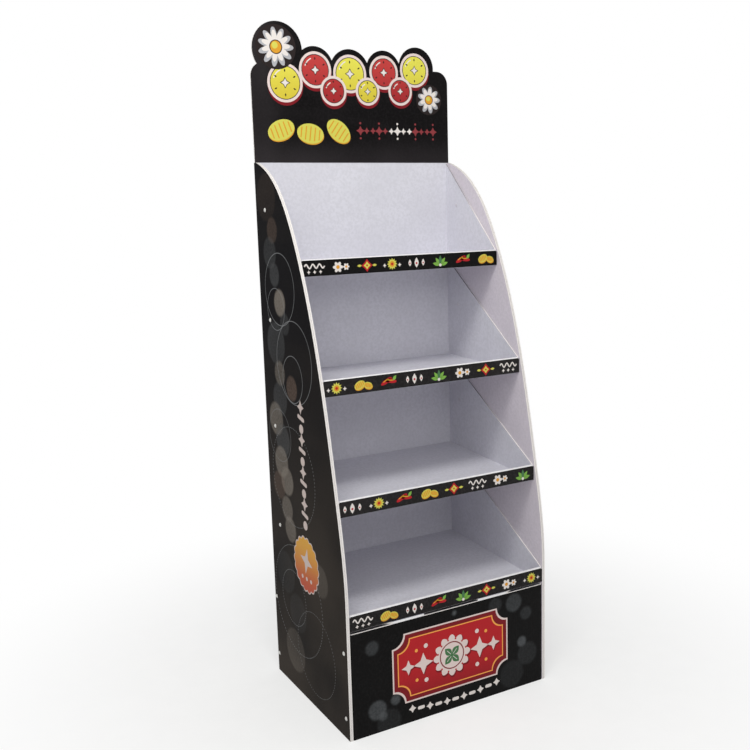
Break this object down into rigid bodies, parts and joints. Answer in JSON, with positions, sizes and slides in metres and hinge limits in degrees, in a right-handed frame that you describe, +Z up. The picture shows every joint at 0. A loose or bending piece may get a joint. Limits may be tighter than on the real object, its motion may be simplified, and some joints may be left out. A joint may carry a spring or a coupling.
{
  "type": "cardboard display stand",
  "caption": "Free-standing corrugated board display stand with sloping open trays between curved sides, a closed base and an upright header card with a bumpy top edge.",
  "frame": {"origin": "on the floor, in the middle of the stand's width and depth", "axes": "+Z up, -Y is the open front where goods are taken, +X is to the right seen from the front"},
  "size_m": [0.604, 0.444, 1.7643],
  "materials": {
    "printed_board": "gloss",
    "white_board": "satin",
    "white_plastic": "satin"
  },
  "bodies": {
    "root": {"outer_shell": "printed_board", "base_box": "printed_board", "header_card": "printed_board", "side_liner_left": "white_board", "side_liner_right": "white_board", "base_deck": "white_board", "tray_1": "white_board", "tray_2": "white_board", "tray_3": "white_board", "tray_4": "white_board", "rivet_studs": "white_plastic", "rivet_caps": "white_plastic"}
  },
  "joints": []
}
